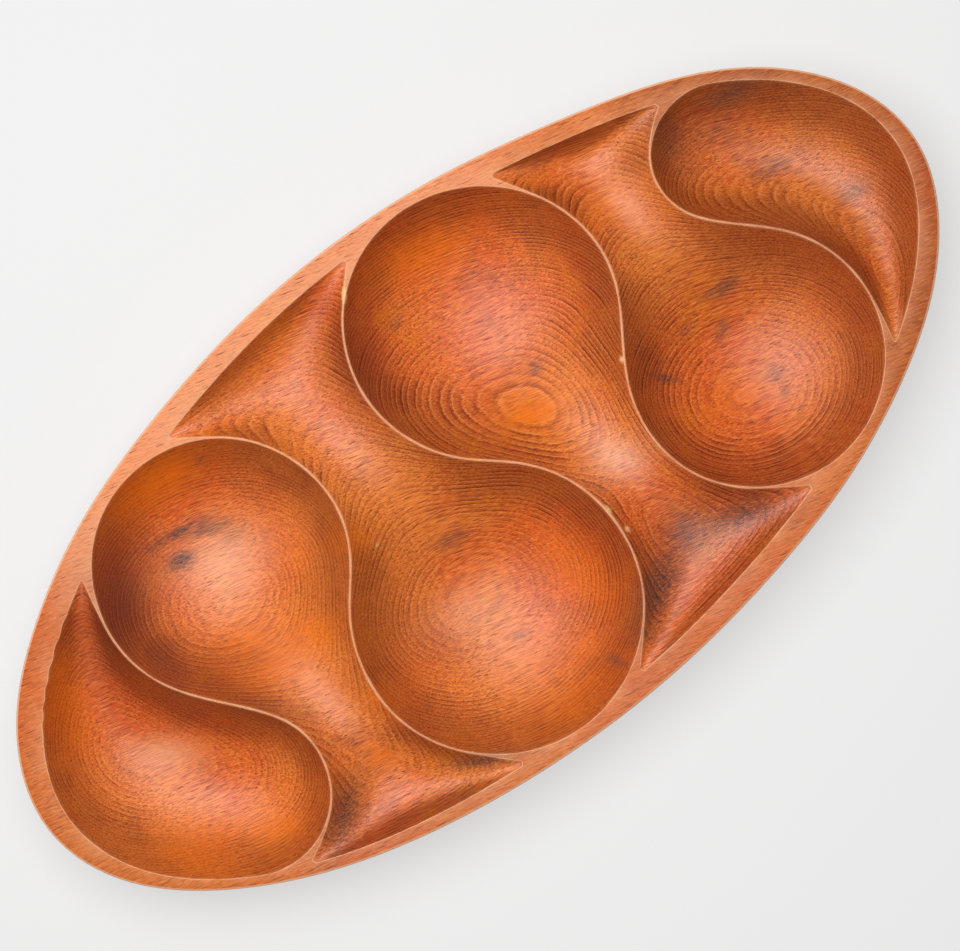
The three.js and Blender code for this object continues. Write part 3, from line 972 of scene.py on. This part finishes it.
def oiled_teak():
    """Flat-sawn teak, carved, sanded and oiled: warm orange brown, each growth layer a brown
    band with a thin pale line, short dark pores along the grain, a soft satin gloss."""
    material, tree = new_material("oiled teak")
    place = add(tree, "ShaderNodeTexCoord").outputs["Object"]
    along, across, height = add(tree, "ShaderNodeSeparateXYZ", {0: place}).outputs
    facing = add(tree, "ShaderNodeNewGeometry").outputs["Normal"]
    facing = add(tree, "ShaderNodeSeparateXYZ", {0: facing}).outputs["Z"]
    grain = add(
        tree, "ShaderNodeMapping",
        {"Vector": place, "Rotation": (0, 0, GRAIN_TURN), "Scale": (1 / MM, 1 / MM, 1 / MM)},
    ).outputs[0]
    wood = patches_and_streaks(tree, grain)
    mark = {}
    for name in (*MARKS, "inside", "lip"):
        mark[name] = add(tree, "ShaderNodeAttribute", attribute_name=name).outputs["Fac"]
    share, band, line = growth_layers(tree, layer_distance(tree, grain, wood["ragged"]))
    shown = layers_shown(tree, facing, along, wood["faded"])
    band = add(tree, "ShaderNodeMath", {0: band, 1: shown}, operation="MULTIPLY").outputs[0]
    line = add(tree, "ShaderNodeMath", {0: line, 1: shown}, operation="MULTIPLY").outputs[0]
    coats = heartwood_coats(tree, wood, along)

    # Purple brown painted shade on some walls and, faintly, on two necks, and the growth layers over it.
    coats.append((mark["umber"], linear("#5E2A24")))
    coats.append((band, linear("#6E1E08")))
    coats.append((line, linear("#F0A058")))

    # Painted shade: steep walls inside the hollows are darkened by their slope, beyond the shade that the
    # lamp gives.
    steep = add(
        tree, "ShaderNodeMapRange", {"Value": facing, "From Min": 0.9, "From Max": 0.7, "To Max": 0.4},
        interpolation_type="SMOOTHSTEP",
    ).outputs[0]
    steep = add(tree, "ShaderNodeMath", {0: steep, 1: mark["inside"]}, operation="MULTIPLY").outputs[0]
    coats.append((steep, linear("#661A0A")))

    # Embers glow through, least in the dark bands and flecks.
    clear = add(tree, "ShaderNodeMapRange", {"Value": band, "To Min": 0.95, "To Max": 0.25}).outputs[0]
    ember = add(tree, "ShaderNodeMath", {0: mark["ember"], 1: clear}, operation="MULTIPLY").outputs[0]
    flecked = add(
        tree, "ShaderNodeMapRange",
        {"Value": wood["fleck"], "From Min": 0.4, "From Max": 0.6, "To Min": 1, "To Max": 0.75},
    ).outputs[0]
    ember = add(tree, "ShaderNodeMath", {0: ember, 1: flecked}, operation="MULTIPLY").outputs[0]
    coats.append((ember, linear("#F07404")))

    low, high = LAND_FADE
    land = add(
        tree, "ShaderNodeMapRange",
        {
            "Value": height, "To Max": LAND_SHARE,
            "From Min": (HEIGHT - low) * MM, "From Max": (HEIGHT - high) * MM,
        },
    ).outputs[0]
    coats += land_coats(tree, land, wood["hatch"], {"along": along, "across": across})

    # Dark pores, nearly closed by the oil in the embers.
    pores = open_vessels(tree, grain, share)
    closed = add(tree, "ShaderNodeMapRange", {"Value": ember, "To Min": 1, "To Max": 0.2}).outputs[0]
    for pore, (_, _, _, depth) in zip(pores, VESSELS):
        shade = add(tree, "ShaderNodeMath", {0: pore, 1: depth}, operation="MULTIPLY").outputs[0]
        shade = add(tree, "ShaderNodeMath", {0: shade, 1: closed}, operation="MULTIPLY").outputs[0]
        coats.append((shade, linear("#5C220C")))

    coats += mark_coats(tree, mark, wood["fleck"])
    coats += rubbed_lips_and_edge_highlight(tree, mark, wood["rubbed"], height, facing)
    colour = linear("#F88838")
    for shade, tint in coats:
        colour = add(
            tree, "ShaderNodeMix", {"Factor": shade, 6: colour, 7: tint}, data_type="RGBA"
        ).outputs[2]

    # Satin oil, duller in the fibres and on the flat top, with open pores and a fine raised grain.
    rough = add(
        tree, "ShaderNodeMapRange", {"Value": wood["fibre"], "To Min": 0.26, "To Max": 0.46}
    ).outputs[0]
    rough = add(tree, "ShaderNodeMath", {0: land, 1: 0.5, 2: rough}, operation="MULTIPLY_ADD").outputs[0]
    gloss = add(
        tree, "ShaderNodeMapRange",
        {"Value": land, "From Max": LAND_SHARE, "To Min": 0.42, "To Max": 0.15},
    ).outputs[0]
    relief = add(
        tree, "ShaderNodeMath", {0: pores[1], 1: -0.9, 2: wood["fibre"]}, operation="MULTIPLY_ADD"
    ).outputs[0]
    relief = add(
        tree, "ShaderNodeMath", {0: wood["thread"], 1: 0.8, 2: relief}, operation="MULTIPLY_ADD"
    ).outputs[0]
    bump = add(
        tree, "ShaderNodeBump", {"Height": relief, "Strength": 0.4, "Distance": TEAK_RELIEF * MM}
    ).outputs[0]
    shader = add(
        tree, "ShaderNodeBsdfPrincipled",
        {
            "Base Color": colour, "Roughness": rough, "Normal": bump,
            "IOR": TEAK_IOR, "Specular IOR Level": gloss,
        },
    )
    add(tree, "ShaderNodeOutputMaterial", {"Surface": shader.outputs[0]})
    return material


board.data.materials.clear()
board.data.materials.append(oiled_teak())

# Cork feet, in millimetres
FOOT_RADIUS = 8
FOOT_INSET = 18
FOOT_SIDES = 64
FOOT_EASE = 0.35
FOOT_EASE_STEPS = 4
FOOT_CREASE = math.radians(35)
FOOT_PLACES = {"front_left": (-1, -1), "front_right": (1, -1), "back_left": (-1, 1), "back_right": (1, 1)}
CORK_GRAIN = 1.1
CORK_RELIEF = 0.2


def cork():
    """Pressed cork: tan grains with darker seams between them, dull and slightly pitted."""
    material, tree = new_material("pressed cork")
    place = add(tree, "ShaderNodeTexCoord").outputs["Object"]
    grains = add(tree, "ShaderNodeTexVoronoi", {"Vector": place, "Scale": 1 / (CORK_GRAIN * MM)})
    seams = add(
        tree, "ShaderNodeTexVoronoi",
        {"Vector": place, "Scale": 1 / (CORK_GRAIN * MM)}, feature="DISTANCE_TO_EDGE",
    ).outputs["Distance"]
    shade = add(tree, "ShaderNodeSeparateColor", {0: grains.outputs["Color"]}).outputs[0]
    colour = add(
        tree, "ShaderNodeMix", {"Factor": shade, 6: linear("#B98A5C"), 7: linear("#8E6238")}, data_type="RGBA"
    ).outputs[2]
    seam = add(
        tree, "ShaderNodeMapRange", {"Value": seams, "From Min": 0.1, "From Max": 0, "To Max": 0.7}
    ).outputs[0]
    colour = add(
        tree, "ShaderNodeMix", {"Factor": seam, 6: colour, 7: linear("#4E331C")}, data_type="RGBA"
    ).outputs[2]
    rough = add(tree, "ShaderNodeMapRange", {"Value": shade, "To Min": 0.75, "To Max": 0.95}).outputs[0]
    bump = add(
        tree, "ShaderNodeBump", {"Height": seams, "Strength": 0.5, "Distance": CORK_RELIEF * MM}
    ).outputs[0]
    shader = add(
        tree, "ShaderNodeBsdfPrincipled", {"Base Color": colour, "Roughness": rough, "Normal": bump}
    )
    add(tree, "ShaderNodeOutputMaterial", {"Surface": shader.outputs[0]})
    return material


def make_foot():
    """A disc punched from cork sheet, with its rims eased."""
    deselect()
    bpy.ops.mesh.primitive_cylinder_add(vertices=FOOT_SIDES, radius=FOOT_RADIUS * MM, depth=FOOT_HEIGHT * MM)
    foot = bpy.context.object
    bpy.ops.object.mode_set(mode="EDIT")
    bpy.ops.mesh.select_all(action="DESELECT")
    bpy.ops.mesh.select_mode(type="FACE")
    bpy.ops.mesh.select_face_by_sides(number=FOOT_SIDES, type="EQUAL")
    bpy.ops.mesh.region_to_loop()
    bpy.ops.mesh.bevel(offset=FOOT_EASE * MM, segments=FOOT_EASE_STEPS, affect="EDGES")
    bpy.ops.mesh.select_all(action="SELECT")
    bpy.ops.transform.translate(value=(0, 0, FOOT_HEIGHT / 2 * MM))
    bpy.ops.object.mode_set(mode="OBJECT")
    bpy.ops.object.shade_smooth_by_angle(angle=FOOT_CREASE)
    foot.data.materials.append(cork())
    return foot


def copied(piece, name, x, y):
    """A copy of a piece with its own mesh, moved into place in the mesh."""
    copy = piece.copy()
    copy.data = piece.data.copy()
    copy.name = name
    copy.data.name = name
    copy.data.transform(mathutils.Matrix.Translation((x, y, 0)))
    bpy.context.collection.objects.link(copy)
    return copy


pattern = make_foot()
foot_along, foot_across = oval(BASE_INSET + FOOT_INSET, math.pi / 4) * MM
for corner, (end, side) in FOOT_PLACES.items():
    foot = copied(pattern, "cork_disc_" + corner, end * foot_along, side * foot_across)
    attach(foot, "root")
    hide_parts("cork_foot_" + corner)
bpy.data.objects.remove(pattern)

# Studio, in metres: a sheet of pale paper a hair below the feet, dim light from all round, and
# a wide soft lamp nearly overhead. Most of the paper's light that the camera sees is a glow of
# its own, so that its shadows stay pale.
FLOOR_SIZE = 6
FLOOR_GAP = 0.05 * MM
PAPER_GLOW = 0.68
DIM_LIGHT = 0.09
LAMP_POWER = 13.0
LAMP_SIZE = 0.85
LAMP_PLACE = (-0.05, 0.25, 1.0)

# Camera, straight above the board, which lies askew in its frame. The frame is so many pixels
# wide, at so many pixels to the millimetre of the board's top.
FRAME_PIXELS = 960
PIXELS_PER_MM = 2.3126
EYE_HEIGHT = 1.3
EYE_PLACE = (1.63 * MM, 0.62 * MM, EYE_HEIGHT)
EYE_TURN = math.radians(-39.65)
SENSOR_WIDTH = 36


def pale_paper():
    """Uncoated white paper: plain, dull, and lit evenly to the eye."""
    material, tree = new_material("pale paper")
    paper = add(tree, "ShaderNodeBsdfPrincipled", {"Base Color": linear("#F0F0F0"), "Roughness": 0.9})
    glow = add(tree, "ShaderNodeEmission", {"Color": linear("#EDEDED")})
    seen = add(tree, "ShaderNodeLightPath").outputs["Is Camera Ray"]
    seen = add(tree, "ShaderNodeMath", {0: seen, 1: PAPER_GLOW}, operation="MULTIPLY").outputs[0]
    mixed = add(tree, "ShaderNodeMixShader", {0: seen, 1: paper.outputs[0], 2: glow.outputs[0]})
    add(tree, "ShaderNodeOutputMaterial", {"Surface": mixed.outputs[0]})
    return material


deselect()
bpy.ops.mesh.primitive_plane_add(size=FLOOR_SIZE, location=(0, 0, -FLOOR_GAP))
floor = bpy.context.object
floor.name = "floor"
floor.data.materials.append(pale_paper())

scene = bpy.context.scene
scene.view_settings.view_transform = "Standard"
world = bpy.data.worlds.new("studio")
scene.world = world
world.use_nodes = True
world.node_tree.nodes["Background"].inputs["Color"].default_value = (1, 1, 1, 1)
world.node_tree.nodes["Background"].inputs["Strength"].default_value = DIM_LIGHT

lamp_data = bpy.data.lights.new("lamp", "AREA")
lamp_data.energy = LAMP_POWER
lamp_data.shape = "SQUARE"
lamp_data.size = LAMP_SIZE
lamp = bpy.data.objects.new("lamp", lamp_data)
lamp.location = LAMP_PLACE
lamp.rotation_euler = mathutils.Vector(LAMP_PLACE).to_track_quat("Z", "Y").to_euler()
scene.collection.objects.link(lamp)

camera_data = bpy.data.cameras.new("camera")
camera_data.sensor_width = SENSOR_WIDTH
camera_data.lens = SENSOR_WIDTH * (EYE_HEIGHT - HEIGHT * MM) / (FRAME_PIXELS / PIXELS_PER_MM * MM)
camera = bpy.data.objects.new("camera", camera_data)
scene.collection.objects.link(camera)
camera.location = EYE_PLACE
camera.rotation_euler = (0, 0, EYE_TURN)
scene.camera = camera
